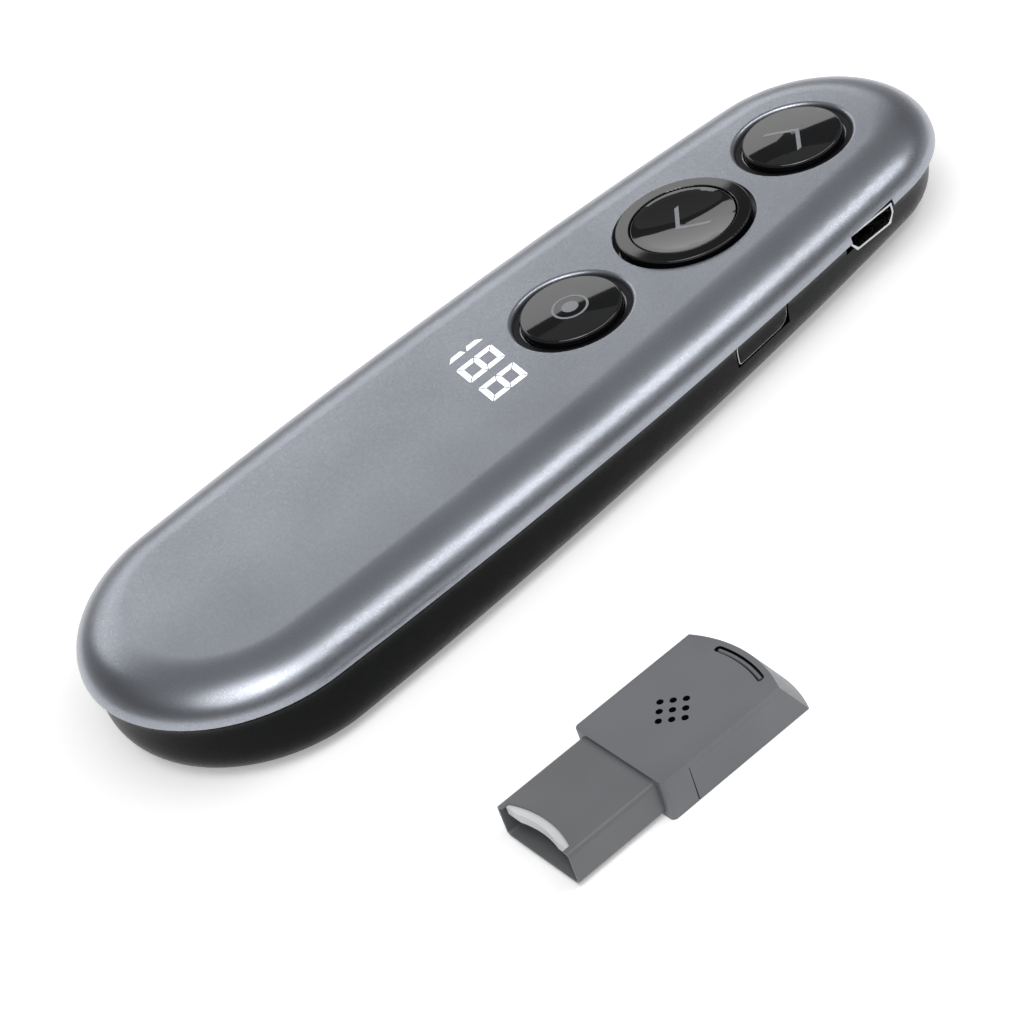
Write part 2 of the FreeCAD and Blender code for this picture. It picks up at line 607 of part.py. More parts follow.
CAP_EDGE = "(seam_height + upper_height + cap_proud - cap_dome)"
CAP_TOP = "(seam_height + upper_height + cap_proud)"
DISH_EDGE = "(seam_height + upper_height + bezel_proud - dish_drop)"
DISH_LOW = "(seam_height + upper_height + bezel_proud - dish_drop - dish_depth)"
DISH_RIM = "(dish_radius - dish_round)"
DISH_BOW = "((%s^2 + dish_depth^2) / (2 * dish_depth))" % DISH_RIM
DOME_RIM = "(cap_radius - cap_round)"
DOME_BOW = "((%s^2 + cap_dome^2) / (2 * cap_dome))" % DOME_RIM
SHELL_FLANGE = "(seam_height + upper_height - top_thickness - button_float)"
BEZEL_FLANGE = "(seam_height + upper_height - top_thickness - bezel_flange_thickness - button_float)"


def ball(name, radius, x, z):
    item = doc.addObject("Part::Sphere", name)
    bind(item, Radius=radius)
    return put(item, x=x, z=z)


def domed(name, blank, x):
    """Trim a mark to the dome of its cap, a hair proud of it."""
    centre = "%s - %s" % (CAP_TOP, DOME_BOW)
    return common(name, [blank, ball(name + "_dome", "%s + mark_proud" % DOME_BOW, x, centre)])


def dished(name, blank, x):
    """Trim a mark to the dish of its cap, a hair proud of it."""
    centre = "%s + %s" % (DISH_LOW, DISH_BOW)
    return cut(name, blank, [ball(name + "_dish", "%s - mark_proud" % DISH_BOW, x, centre)])


def page_up_button():
    blank = cap("page_up", "cap_radius", "cap_round", CAP_EDGE, CAP_TOP, SHELL_FLANGE, False, FRONT_X)
    low, high = CAP_EDGE + " - mark_depth", CAP_TOP + " + overrun"
    mark = domed("page_up_mark", chevron("page_up_arrow", FRONT_X, 1, low, high), FRONT_X)
    pocket = chevron("page_up_pocket", FRONT_X, 1, low, high)
    node(cut("page_up_button", blank, [pocket]), "page_up_button")
    node(mark, "page_up_mark")


def page_down_button():
    blank = cap("page_down", "dish_radius", "dish_round", DISH_EDGE, DISH_LOW, BEZEL_FLANGE, True, MIDDLE_X)
    low, high = DISH_LOW + " - mark_depth", DISH_EDGE + " + overrun"
    arrow = chevron("page_down_arrow", MIDDLE_X, -1, low, high)
    mark = dished("page_down_mark", arrow, MIDDLE_X)
    pocket = chevron("page_down_pocket", MIDDLE_X, -1, low, high)
    node(cut("page_down_button", blank, [pocket]), "page_down_button")
    node(mark, "page_down_mark")


def target(name, low, high):
    """Ring and dot, as two solids."""
    length = "(%s) - (%s)" % (high, low)
    ring = cut(name + "_ring", rod(name + "_outer", "icon_ring_radius", length, REAR_X, "0", low),
               [rod(name + "_inner", "icon_ring_radius - icon_stroke", length, REAR_X, "0", low)])
    dot = rod(name + "_dot", "icon_dot_radius", length, REAR_X, "0", low)
    return [ring, dot]


def pointer_button():
    blank = cap("pointer", "cap_radius", "cap_round", CAP_EDGE, CAP_TOP, SHELL_FLANGE, False, REAR_X)
    low, high = CAP_EDGE + " - mark_depth", CAP_TOP + " + overrun"
    pieces = [domed(piece.Name + "_trim", piece, REAR_X) for piece in target("icon", low, high)]
    node(cut("pointer_button", blank, target("icon_pocket", low, high)), "pointer_button")
    node(group("pointer_mark", pieces), "pointer_mark")


def well_seals():
    """Black ring on the foot of each sloped recess, round its cap."""
    low = TOP + " - well_depth"
    for name, x in (("page_up_seal", FRONT_X), ("pointer_seal", REAR_X)):
        blank = rod(name + "_blank", "well_foot_radius", "seal_thickness", x, "0", low)
        hole = rod(name + "_hole", "cap_radius + seal_gap", "seal_thickness + 2 * overrun", x,
                   "0", low + " - overrun")
        node(cut(name, blank, [hole]), name)


def page_down_bezel():
    """Raised ring round the page-down button, held by its flange under the top cover."""
    inner = "(dish_radius + button_gap)"
    hole = "(bezel_radius + bezel_groove)"
    top = "(seam_height + upper_height + bezel_proud)"
    low = ROOF + " - bezel_flange_thickness"
    points = [(inner, low), (hole + " + bezel_flange_width", low),
              (hole + " + bezel_flange_width", ROOF), ("bezel_radius", ROOF),
              ("bezel_radius", top + " - bezel_round"), ("bezel_radius - bezel_round", top),
              (inner + " + bezel_inner_round", top), (inner, top + " - bezel_inner_round")]
    arcs = {4: ("bezel_round", 1), 6: ("bezel_inner_round", 1)}
    ring = put(revolve("bezel_blank", profile("bezel_profile", points, arcs, plane="XZ")),
               x=MIDDLE_X)
    spot = MIDDLE_X + " + indicator_reach"
    height = "bezel_proud + top_thickness + bezel_flange_thickness"
    hole = rod("indicator_hole", "indicator_radius + indicator_gap", height + " + 2 * overrun",
               spot, "-indicator_offset", low + " - overrun")
    node(cut("page_down_bezel", ring, [hole]), "page_down_bezel")
    node(rod("indicator_lens", "indicator_radius", height, spot, "-indicator_offset", low),
         "indicator_lens")


# Board and what it carries

def main_board():
    """Board with slots that clear the case screws' bosses."""
    near, corner = "-" + BOARD_SIDE, "board_corner"
    points = [(BOARD_TAIL, near), ("%s - %s" % (BOARD_NOSE, corner), near),
              (BOARD_NOSE, "%s + %s" % (near, corner)),
              (BOARD_NOSE, "%s - %s" % (BOARD_SIDE, corner)),
              ("%s - %s" % (BOARD_NOSE, corner), BOARD_SIDE), (BOARD_TAIL, BOARD_SIDE)]
    blank = extrude("board_blank", profile("board_outline", points, z="board_bottom"),
                    "board_thickness")
    low, high, reach = "board_bottom - overrun", BOARD_TOP + " + overrun", "case_boss_radius"
    tools = columns("board_notch", CASE_SCREWS[2:], "case_boss_radius + notch_gap", low, high)
    for index, (x, y) in enumerate(CASE_SCREWS[2:]):
        sides = ["(%s) %s (%s + notch_gap)" % (x, sign, reach) for sign in "-+"]
        ends = (near + " - overrun", y) if index == 0 else (y, BOARD_SIDE + " + overrun")
        tools.append(box("board_slot_%d" % index, (sides[0], ends[0], low),
                         (sides[1], ends[1], high)))
    tools += columns("board_hole", BOARD_SCREWS, "board_hole_radius", low, high)
    node(cut("main_board", blank, tools), "main_board")


def top_switch(name, x):
    """Push switch under a button, with the well that its plunger slides in."""
    half = "switch_size / 2"
    body = box(name + "_case", ("%s - %s" % (x, half), "-" + half, BOARD_TOP),
               ("%s + %s" % (x, half), half, BOARD_TOP + " + switch_height"))
    depth = "(plunger_depth + button_travel + plunger_end_room)"
    top = "(%s + switch_height)" % BOARD_TOP
    well = rod(name + "_well", "plunger_radius + plunger_gap", depth + " + overrun", x, "0",
               "%s - %s" % (top, depth))
    node(cut(name + "_switch", body, [well]), name + "_switch")
    node(rod(name + "_plunger", "plunger_radius", "plunger_reach + plunger_depth", x, "0",
             top + " - plunger_depth"), name + "_plunger")


def chips():
    """Controller, crystal, charging chip and a row of capacitors under the board."""
    def chip(name, x, y, length, width, height):
        return box(name, ("%s - %s / 2" % (x, length), "%s - %s / 2" % (y, width),
                          "board_bottom - " + height),
                   ("%s + %s / 2" % (x, length), "%s + %s / 2" % (y, width), "board_bottom"))
    node(chip("controller_chip", MIDDLE_X + " - chip_setback", "0", "chip_size", "chip_size",
              "chip_height"), "controller_chip")
    small = [chip("crystal", MIDDLE_X, "0", "crystal_length", "crystal_width",
                  "crystal_height"),
             chip("charger_chip", PORT_X + " - charger_setback", "charger_y", "charger_size",
                  "charger_size", "chip_height")]
    for place in range(4):
        small.append(chip("capacitor_%d" % place, "%s - capacitor_setback + capacitor_pitch * %d"
                          % (MIDDLE_X, place), "capacitor_y", "capacitor_width",
                          "capacitor_length", "capacitor_height"))
    node(group("board_components", small), "board_components")


LAST_DIGIT = "(digit_pitch * %d + digit_width)" % (len(DIGITS) - 1)
GUIDE_TAIL = ("(%s - digit_setback - digit_height - %s * digit_shift / digit_pitch - guide_margin)"
              % (REAR_X, LAST_DIGIT))


def display():
    """Light guide whose bars fill the digits, and the lamp block under it."""
    nose = "(%s - digit_setback + guide_margin / 2)" % REAR_X
    low_y = "digit_left_y - %s - guide_margin" % LAST_DIGIT
    high_y = "digit_left_y - digit_width + digit_stroke + guide_margin"
    plate = box("guide_plate", (GUIDE_TAIL, low_y, ROOF + " - guide_thickness"),
                (nose, high_y, ROOF))
    bars = digit_bars("digit_bar", ROOF, TOP)
    node(fuse("display_light_guide", [plate] + bars), "display_light_guide")
    node(box("display_module", (GUIDE_TAIL + " + display_margin", low_y + " + display_margin",
                                BOARD_TOP),
             (nose + " - display_margin", high_y + " - display_margin",
              ROOF + " - guide_thickness")), "display_module")


def battery():
    """Flat cell on a foam pad over the receiver bay, with two tabs on the board."""
    seat, low = "(%s + bay_roof)" % BAY_DEPTH, "(%s + battery_gap)" % BOARD_TOP
    tail, half = "(-case_length / 2 + battery_setback)", BATTERY_HALF
    nose = "(%s - battery_display_gap)" % GUIDE_TAIL
    pad_end = "%s + pad_margin + (%s - %s) * pad_share" % (tail, nose, tail)
    node(box("battery_pad", (tail + " + pad_margin", "-%s + pad_margin" % half, seat),
             (pad_end, half + " - pad_margin", low)), "battery_pad")
    node(box("battery", (tail, "-" + half, low), (nose, half, low + " + battery_height")),
         "battery")
    tabs = []
    for sign in ("-", ""):
        side = "%stab_offset" % sign
        tabs.append(box("battery_tab_%d" % len(tabs), (nose, side + " - tab_width / 2", BOARD_TOP),
                        (nose + " + tab_length", side + " + tab_width / 2",
                         BOARD_TOP + " + tab_thickness")))
    node(group("battery_tabs", tabs), "battery_tabs")


def port_outline(name, inset, y):
    """Port section: wide at the top, with its lower corners cut back."""
    half = "(port_width / 2 - %s)" % inset
    slim = "(port_width / 2 - port_corner - %s)" % inset
    low, high = BOARD_TOP + " + " + inset, BOARD_TOP + " + port_height - " + inset
    shoulder = BOARD_TOP + " + port_shoulder"
    points = [(PORT_X + " - " + slim, low), (PORT_X + " + " + slim, low),
              (PORT_X + " + " + half, shoulder), (PORT_X + " + " + half, high),
              (PORT_X + " - " + half, high), (PORT_X + " - " + half, shoulder)]
    return profile(name, points, plane="XZ", y=y)


def charging_port():
    ahead = Vector(0, 1, 0)
    tube = extrude("port_blank", port_outline("port_outer", "0", PORT_MOUTH), "port_depth", ahead)
    bore = extrude("port_bore", port_outline("port_inner", "port_wall",
                                             PORT_MOUTH + " - overrun"),
                   "port_depth - port_wall + overrun", ahead)
    node(cut("charging_port_shell", tube, [bore]), "charging_port_shell")
    top = "(%s + port_height - port_wall - port_tongue_drop)" % BOARD_TOP
    under = "(%s - port_tongue_thickness)" % top
    back = "(%s + port_depth - port_wall)" % PORT_MOUTH
    half = " port_tongue_width / 2"
    node(box("charging_port_tongue", (PORT_X + " -" + half, PORT_MOUTH + " + port_tongue_setback",
                                      under), (PORT_X + " +" + half, back, top)),
         "charging_port_tongue")
    contacts = []
    for place in range(-2, 3):
        middle = PORT_X + " + port_contact_pitch * %d" % place
        contacts.append(box("port_contact_%d" % (place + 2),
                            (middle + " - port_contact_width / 2",
                             back + " - port_contact_length", under + " - port_contact_thickness"),
                            (middle + " + port_contact_width / 2", back, under)))
    node(group("charging_port_contacts", contacts), "charging_port_contacts")


# Side key

def side_key():
    """Flush key in the near wall; the ends of its flange lie behind the wall."""
    tail, nose = "(%s - key_width / 2)" % KEY_X, "(%s + key_width / 2)" % KEY_X
    points = [(tail + " + key_tail_corner", "key_low"), (nose + " - key_nose_corner", "key_low"),
              (nose, "key_low + key_nose_corner"), (nose, KEY_TOP), (tail, KEY_TOP),
              (tail, "key_low + key_tail_corner")]
    arcs = {1: ("key_nose_corner", 1), 5: ("key_tail_corner", 1)}
    sketch = profile("key_outline", points, arcs, plane="XZ", y=KEY_BACK + " - key_width")
    face = extrude("key_block", sketch, "key_width", Vector(0, 1, 0))
    front = common("key_front", [outside_copy("key_form"), face])
    flange = box("key_flange", (tail + " - key_flange_width", KEY_BACK,
                                KEY_TOP + " - key_flange_height"),
                 (nose + " + key_flange_width", KEY_BACK + " + key_flange_thickness", KEY_TOP))
    back = box("key_back", (tail, KEY_BACK, "key_low + key_nose_corner"),
               (nose, KEY_BACK + " + key_flange_thickness", KEY_TOP))
    node(fuse("side_key", [front, flange, back]), "side_key")


def side_switch():
    half = " side_switch_width / 2"
    face = "(%s + side_switch_gap)" % KEY_BACK
    height = BOARD_TOP + " + side_plunger_rise"
    body = box("side_switch_case", (KEY_X + " -" + half, face, BOARD_TOP),
               (KEY_X + " +" + half, face + " + side_switch_depth",
                BOARD_TOP + " + side_switch_height"))
    depth = "(side_plunger_depth + key_travel + plunger_end_room)"
    well = rod("side_switch_well", "side_plunger_radius + plunger_gap", depth + " + overrun",
               KEY_X, face + " - overrun", height, "Y")
    node(cut("side_switch", body, [well]), "side_switch")
    back = "(%s + key_flange_thickness)" % KEY_BACK
    node(rod("side_plunger", "side_plunger_radius", "%s + side_plunger_depth - %s" % (face, back),
             KEY_X, back, height, "Y"), "side_plunger")


# Laser pointer

def laser():
    blank = rod("laser_blank", "laser_radius", "laser_length", LASER_TAIL, "0", "laser_z", "X")
    bore = rod("laser_bore_hole", "laser_bore", "laser_bore_depth + overrun",
               LASER_NOSE + " - laser_bore_depth", "0", "laser_z", "X")
    node(cut("laser_barrel", blank, [bore]), "laser_barrel")
    node(rod("laser_lens", "laser_bore", "lens_thickness",
             LASER_NOSE + " - lens_setback - lens_thickness", "0", "laser_z", "X"), "laser_lens")
    node(rod("laser_driver", "driver_radius", "driver_thickness",
             LASER_TAIL + " - driver_thickness", "0", "laser_z", "X"), "laser_driver")
    node(rod("nose_window", "window_radius", "window_thickness",
             NOSE_END + " - window_setback - window_thickness", "0", "laser_z", "X"),
         "nose_window")


# Receiver, drawn from the mouth of its plug along its own length and then laid in place

def lay(item, name):
    """Turn and move a receiver piece to where it lies."""
    item.Label = name + "_form"
    laid = group(name + "_laid", [item])
    laid.Placement = FreeCAD.Placement(Vector(), FreeCAD.Rotation(UP, SIZES["receiver_yaw"]))
    return node(put(laid, "receiver_x", "receiver_y"), name)


COVER_LOW = "(%s - receiver_cover)" % RX_HEIGHT
COLLAR_END = "(plug_length + collar_length)"
PLUG_BACK = "(plug_length + plug_root)"
RX_FAR = "(%s + receiver_end_slope + plug_width)" % RX_END


def receiver_form(name):
    """Outside of the receiver: rounded collar corners and an arched end that slopes out."""
    def plan(label, side_end, z):
        half, corner = "(%s / 2)" % RX_WIDTH, "collar_corner"
        points = [("plug_length + " + corner, "-" + half), (side_end, "-" + half),
                  (side_end, half), ("plug_length + " + corner, half),
                  ("plug_length", "%s - %s" % (half, corner)),
                  ("plug_length", "-%s + %s" % (half, corner))]
        arcs = {1: ("receiver_end_radius", 1), 3: (corner, 1), 5: (corner, 1)}
        return profile(label, points, arcs, z=z)
    base = plan(name + "_base", RX_END + " + receiver_end_slope", "0")
    top = plan(name + "_top", RX_END, RX_HEIGHT)
    return loft(name, [base, top], True)


def slab(name, start, end, low, high):
    """Block wider than the receiver, to take a slice of it."""
    half = "(%s / 2 + overrun)" % RX_WIDTH
    return box(name, (start, "-" + half, low), (end, half, high))


def plug_section(name, inset, x):
    """Rounded rectangle across the plug."""
    half, corner = "(plug_width / 2 - %s)" % inset, "(plug_corner - %s)" % inset
    low = "(plug_bottom + %s)" % inset
    high = "(plug_bottom + plug_height - %s)" % inset
    points = [("-%s + %s" % (half, corner), low), ("%s - %s" % (half, corner), low),
              (half, "%s + %s" % (low, corner)), (half, "%s - %s" % (high, corner)),
              ("%s - %s" % (half, corner), high), ("-%s + %s" % (half, corner), high),
              ("-" + half, "%s - %s" % (high, corner)), ("-" + half, "%s + %s" % (low, corner))]
    arcs = {edge: (corner, 1) for edge in (1, 3, 5, 7)}
    return profile(name, points, arcs, plane="YZ", x=x)


def receiver_top_cover():
    """Top plate with sound holes and a finger groove, and the collar round the plug."""
    plate = common("cover_plate", [receiver_form("cover_form"), slab(
        "cover_slab", "plug_length", RX_FAR, COVER_LOW, RX_HEIGHT)])
    collar = common("cover_collar", [receiver_form("collar_form"), slab(
        "collar_slab", "plug_length", COLLAR_END, "0", RX_HEIGHT)])
    whole = fuse("cover_body", [plate, collar])
    tools = [extrude("collar_room", plug_section("collar_room_outline", "0",
                                                 "plug_length - overrun"),
                     "plug_root + overrun", Vector(1, 0, 0)), grip_groove()]
    for along in range(-1, 2):
        for across in range(-1, 2):
            tools.append(rod("sound_hole_%d%d" % (along + 1, across + 1), "hole_radius",
                             "receiver_cover + 2 * overrun",
                             "plug_length + hole_setback + hole_step * %d" % (along + across),
                             "hole_step * %d" % (across - along), COVER_LOW + " - overrun"))
    lay(cut("receiver_top_cover", whole, tools), "receiver_top_cover")


def grip_groove():
    """Curved groove that follows the arched end."""
    outer = "(receiver_end_radius - grip_setback)"
    inner = "(receiver_end_radius - grip_setback - grip_width)"
    centre = "(%s + %s - receiver_end_radius)" % (RX_END, BOW)
    low = RX_HEIGHT + " - grip_depth"
    ends = ["(-grip_half_span - grip_shift)", "(grip_half_span - grip_shift)"]
    far = ["%s + sqrt(%s^2 - %s^2)" % (centre, outer, end) for end in ends]
    near = ["%s + sqrt(%s^2 - %s^2)" % (centre, inner, end) for end in ends]
    points = [(near[0], ends[0]), (far[0], ends[0]), (far[1], ends[1]), (near[1], ends[1])]
    sketch = profile("grip_outline", points, {1: (outer, 1), 3: (inner, -1)}, z=low)
    return extrude("grip_groove", sketch, "grip_depth + overrun")


def receiver_bottom_cover():
    """Tray behind the collar that closes the receiver from below."""
    tray = common("tray_body", [receiver_form("tray_form"), slab(
        "tray_slab", COLLAR_END, RX_FAR, "0", COVER_LOW)])
    inside = "(%s / 2 - receiver_wall)" % RX_WIDTH
    room = box("tray_room", (COLLAR_END + " - overrun", "-" + inside, "receiver_floor"),
               (RX_END + " - receiver_wall", inside, RX_HEIGHT))
    rest = []
    for sign in ("-", ""):
        rest.append(box("board_rest_%d" % len(rest),
                        (RX_BOARD_NOSE + " - rx_pad", "%s%s - rx_pad" % (sign, inside),
                         "receiver_floor / 2"),
                        (RX_BOARD_NOSE + " + receiver_wall", "%s%s + rx_pad" % (sign, inside),
                         "rx_board_bottom")))
    trimmed = common("board_rests", [receiver_form("rest_form"), fuse("board_rest_pair", rest)])
    socket = extrude("tray_plug_room", plug_section("tray_plug_outline", "0", "plug_length"),
                     "plug_root", Vector(1, 0, 0))
    lay(fuse("tray_whole", [cut("tray_hollow", tray, [room, socket]), trimmed]),
        "receiver_bottom_cover")


RX_BOARD_TAIL = "(%s + rx_board_gap)" % PLUG_BACK
RX_BOARD_NOSE = "(%s - receiver_wall - rx_board_gap)" % RX_END
RX_BOARD_TOP = "(rx_board_bottom + rx_board_thickness)"


def receiver_insides():
    half = "(%s / 2 - receiver_wall - rx_board_gap)" % RX_WIDTH
    lay(box("receiver_board", (RX_BOARD_TAIL, "-" + half, "rx_board_bottom"),
            (RX_BOARD_NOSE, half, RX_BOARD_TOP)), "receiver_board")
    size, middle = "rx_chip_size / 2", RX_BOARD_NOSE + " - rx_chip_inset"
    lay(box("receiver_chip", (middle + " - " + size, "-" + size, RX_BOARD_TOP),
            (middle + " + " + size, size, RX_BOARD_TOP + " + rx_chip_height")), "receiver_chip")
    lay(rod("receiver_buzzer", "buzzer_radius", "buzzer_height", "plug_length + hole_setback",
            "0", RX_BOARD_TOP), "receiver_buzzer")


ARCH_X = "(plug_lip + plug_notch - plug_notch_radius)"
PLUG_TOP = "(plug_bottom + plug_height)"


def arch(name, radius, low, height):
    """Cylinder whose side makes the arched edge in the plug's mouth."""
    return rod(name, radius, height, ARCH_X, "0", low)


def usb_plug():
    """Sheet-metal shell with an arched cut in its top, white insulator and four contacts."""
    inside = "(plug_width / 2 - plug_sheet)"
    along = Vector(1, 0, 0)
    tube = extrude("plug_blank", plug_section("plug_outer", "0", "0"), PLUG_BACK, along)
    bore = extrude("plug_bore", plug_section("plug_inner", "plug_sheet", "-overrun"),
                   PLUG_BACK + " - plug_sheet + overrun", along)
    notch = common("plug_notch_cut", [
        arch("plug_arch", "plug_notch_radius", PLUG_TOP + " - plug_corner",
             "plug_corner + overrun"),
        box("plug_notch_band", ("-overrun", "-%s + plug_corner" % inside,
                                PLUG_TOP + " - plug_corner"),
            ("plug_lip + plug_notch + overrun", inside + " - plug_corner",
             PLUG_TOP + " + overrun"))])
    lay(cut("usb_plug_shell", tube, [bore, notch]), "usb_plug_shell")
    top = "(%s - plug_sheet)" % PLUG_TOP
    under = "(%s - insulator_thickness)" % top
    edge = "(%s - insulator_margin)" % inside
    low, height = under + " - overrun", "insulator_thickness + 2 * overrun"
    block = box("insulator_block", ("plug_lip", "-" + edge, under),
                (PLUG_BACK + " - plug_sheet", edge, top))
    middle = box("insulator_middle", ("-overrun", "-insulator_step_y", low),
                 (PLUG_BACK, "insulator_step_y", top + " + overrun"))
    front = common("insulator_front", [
        arch("insulator_arch", "plug_notch_radius - insulator_strip", low, height), middle])
    ends = arch("insulator_end_arch", "plug_notch_radius - insulator_strip - insulator_step",
                low, height)
    lay(cut("usb_plug_insulator", block, [front, ends]), "usb_plug_insulator")
    contacts = []
    for place in ("-contact_outer_y", "-contact_inner_y", "contact_inner_y", "contact_outer_y"):
        contacts.append(box("plug_contact_%d" % len(contacts),
                            ("contact_setback", place + " - contact_width / 2",
                             under + " - contact_thickness"),
                            ("contact_setback + contact_length", place + " + contact_width / 2",
                             under)))
    lay(group("usb_plug_contacts", contacts), "usb_plug_contacts")


# Assembly

upper_shell()
lower_shell(lower_form())
page_up_button()
page_down_button()
pointer_button()
well_seals()
page_down_bezel()
display()
main_board()
for switch, place in (("page_up", FRONT_X), ("page_down", MIDDLE_X), ("pointer", REAR_X)):
    top_switch(switch, place)
chips()
battery()
charging_port()
side_key()
side_switch()
laser()
screws("case_screws", CASE_SCREWS, "screw_radius", "screw_length", "screw_head_radius",
       "screw_head_height", "counterbore_depth", True)
screws("board_screws", BOARD_SCREWS, "board_screw_radius",
       "board_screw_depth + board_thickness - board_screw_head_height",
       "board_screw_head_radius", "board_screw_head_height", BOARD_TOP, False)
receiver_top_cover()
receiver_bottom_cover()
receiver_insides()
usb_plug()

doc.recompute()
faults = [item.Name for item in doc.Objects
          if "Invalid" in item.State or "Error" in item.State]
faults += [item.Label for item in nodes if item.Shape.isNull() or not item.Shape.isValid()]
if faults:
    raise RuntimeError("these objects failed: " + ", ".join(faults))
for item in nodes:
    item.Shape.exportStep("parts/%s.step" % item.Label)
    print("%-26s solids %d  volume %9.2f" % (item.Label, len(item.Shape.Solids),
                                             item.Shape.Volume))
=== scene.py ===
"""Looks of the wireless presentation clicker and its plug-in receiver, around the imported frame."""
import bpy
import bmesh
import json
import math
from mathutils import Matrix, Vector

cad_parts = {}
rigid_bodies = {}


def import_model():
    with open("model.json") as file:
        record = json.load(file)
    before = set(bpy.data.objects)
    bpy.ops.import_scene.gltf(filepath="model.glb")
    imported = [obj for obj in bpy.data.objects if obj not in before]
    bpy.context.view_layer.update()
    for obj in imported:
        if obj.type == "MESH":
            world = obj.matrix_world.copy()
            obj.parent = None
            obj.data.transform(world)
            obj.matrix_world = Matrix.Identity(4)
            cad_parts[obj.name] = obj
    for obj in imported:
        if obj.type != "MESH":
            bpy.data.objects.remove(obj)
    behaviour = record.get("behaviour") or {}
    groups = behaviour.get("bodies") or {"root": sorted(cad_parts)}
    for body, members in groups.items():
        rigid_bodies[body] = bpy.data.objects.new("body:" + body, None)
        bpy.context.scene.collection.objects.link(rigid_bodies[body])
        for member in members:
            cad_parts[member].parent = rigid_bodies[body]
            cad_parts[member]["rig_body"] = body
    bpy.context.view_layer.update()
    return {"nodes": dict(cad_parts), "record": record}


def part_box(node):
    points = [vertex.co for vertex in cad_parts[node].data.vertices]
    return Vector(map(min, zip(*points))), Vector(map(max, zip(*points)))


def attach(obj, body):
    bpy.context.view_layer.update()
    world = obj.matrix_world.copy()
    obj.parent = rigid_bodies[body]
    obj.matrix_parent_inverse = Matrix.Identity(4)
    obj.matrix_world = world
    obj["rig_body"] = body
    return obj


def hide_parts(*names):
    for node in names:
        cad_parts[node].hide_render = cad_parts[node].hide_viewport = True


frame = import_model()
nodes = frame["nodes"]
slot_of = {part["node"]: part["material_slot"] for part in frame["record"]["subparts"]}
MM = 0.001
UP = Vector((0, 0, 1))


# Camera, fitted to the photograph: it looks down on the near side from beyond the tail

CAMERA_PLACE = (-0.1437, -0.2505, 0.2150)
CAMERA_RIGHT = (0.721, -0.635, -0.278)
CAMERA_AHEAD = (0.377, 0.696, -0.612)
CAMERA_NEAR = 0.01
FOCAL_PIXELS, IMAGE_PIXELS, SENSOR_MM = 3011, 1024, 36


def place_camera():
    right = Vector(CAMERA_RIGHT).normalized()
    ahead = Vector(CAMERA_AHEAD).normalized()
    up = right.cross(ahead).normalized()
    right = ahead.cross(up).normalized()
    camera = bpy.data.objects.new("camera", bpy.data.cameras.new("camera"))
    bpy.context.scene.collection.objects.link(camera)
    camera.matrix_world = Matrix.Translation(CAMERA_PLACE) @ Matrix(
        (right, up, -ahead)).transposed().to_4x4()
    camera.data.sensor_width = SENSOR_MM
    camera.data.lens = FOCAL_PIXELS * SENSOR_MM / IMAGE_PIXELS
    camera.data.clip_start = CAMERA_NEAR
    bpy.context.scene.camera = camera


# Material tools

def colour(text):
    """Linear colour of an sRGB hex value."""
    parts = [int(text[at:at + 2], 16) / 255 for at in (0, 2, 4)]
    return [part / 12.92 if part <= 0.04045 else ((part + 0.055) / 1.055) ** 2.4
            for part in parts] + [1]


def add(tree, kind, inputs=None, **settings):
    """Add a node with its settings, and link or set its inputs."""
    new = tree.nodes.new(kind)
    for name, value in settings.items():
        setattr(new, name, value)
    for name, value in (inputs or {}).items():
        if isinstance(value, bpy.types.NodeSocket):
            tree.links.new(value, new.inputs[name])
        else:
            new.inputs[name].default_value = value
    return new


def start(name, **surface):
    """New material with its shader's plain values set; returns it, its tree, shader and place."""
    made = bpy.data.materials.new(name)
    made.use_nodes = True
    tree = made.node_tree
    shader = tree.nodes["Principled BSDF"]
    for socket, value in surface.items():
        shader.inputs[socket.replace("_", " ")].default_value = value
    place = add(tree, "ShaderNodeTexCoord").outputs["Object"]
    return made, tree, shader, place


def speckle(tree, place, size_mm, detail=0):
    """Fine random pattern whose grains are about a size across."""
    return add(tree, "ShaderNodeTexNoise", {"Vector": place, "Scale": 1 / (size_mm * MM),
                                            "Detail": detail}).outputs["Fac"]


def blend_of(tree, amount, low, high, low_at=0.3, high_at=0.7):
    """Colour or grey between two ends as a pattern goes from one level to another."""
    ramp = add(tree, "ShaderNodeValToRGB", {"Fac": amount})
    for stop, at, ends in zip(ramp.color_ramp.elements, (low_at, high_at), (low, high)):
        stop.position = at
        stop.color = colour(ends) if isinstance(ends, str) else (ends, ends, ends, 1)
    return ramp.outputs["Color"]


def raise_grain(tree, shader, height, depth_mm, strength):
    bump = add(tree, "ShaderNodeBump", {"Height": height, "Strength": strength,
                                        "Distance": depth_mm * MM})
    tree.links.new(bump.outputs["Normal"], shader.inputs["Normal"])


# Finishes. Each name tells the real material and how its surface was made

FLAKE_MM = 0.16  # real flake is about 0.03 mm, which is too fine to show
PAINT_CLOUD_MM = 14
PLASTIC_CLOUD_MM = 9
POLISH_WAVE_MM = 5


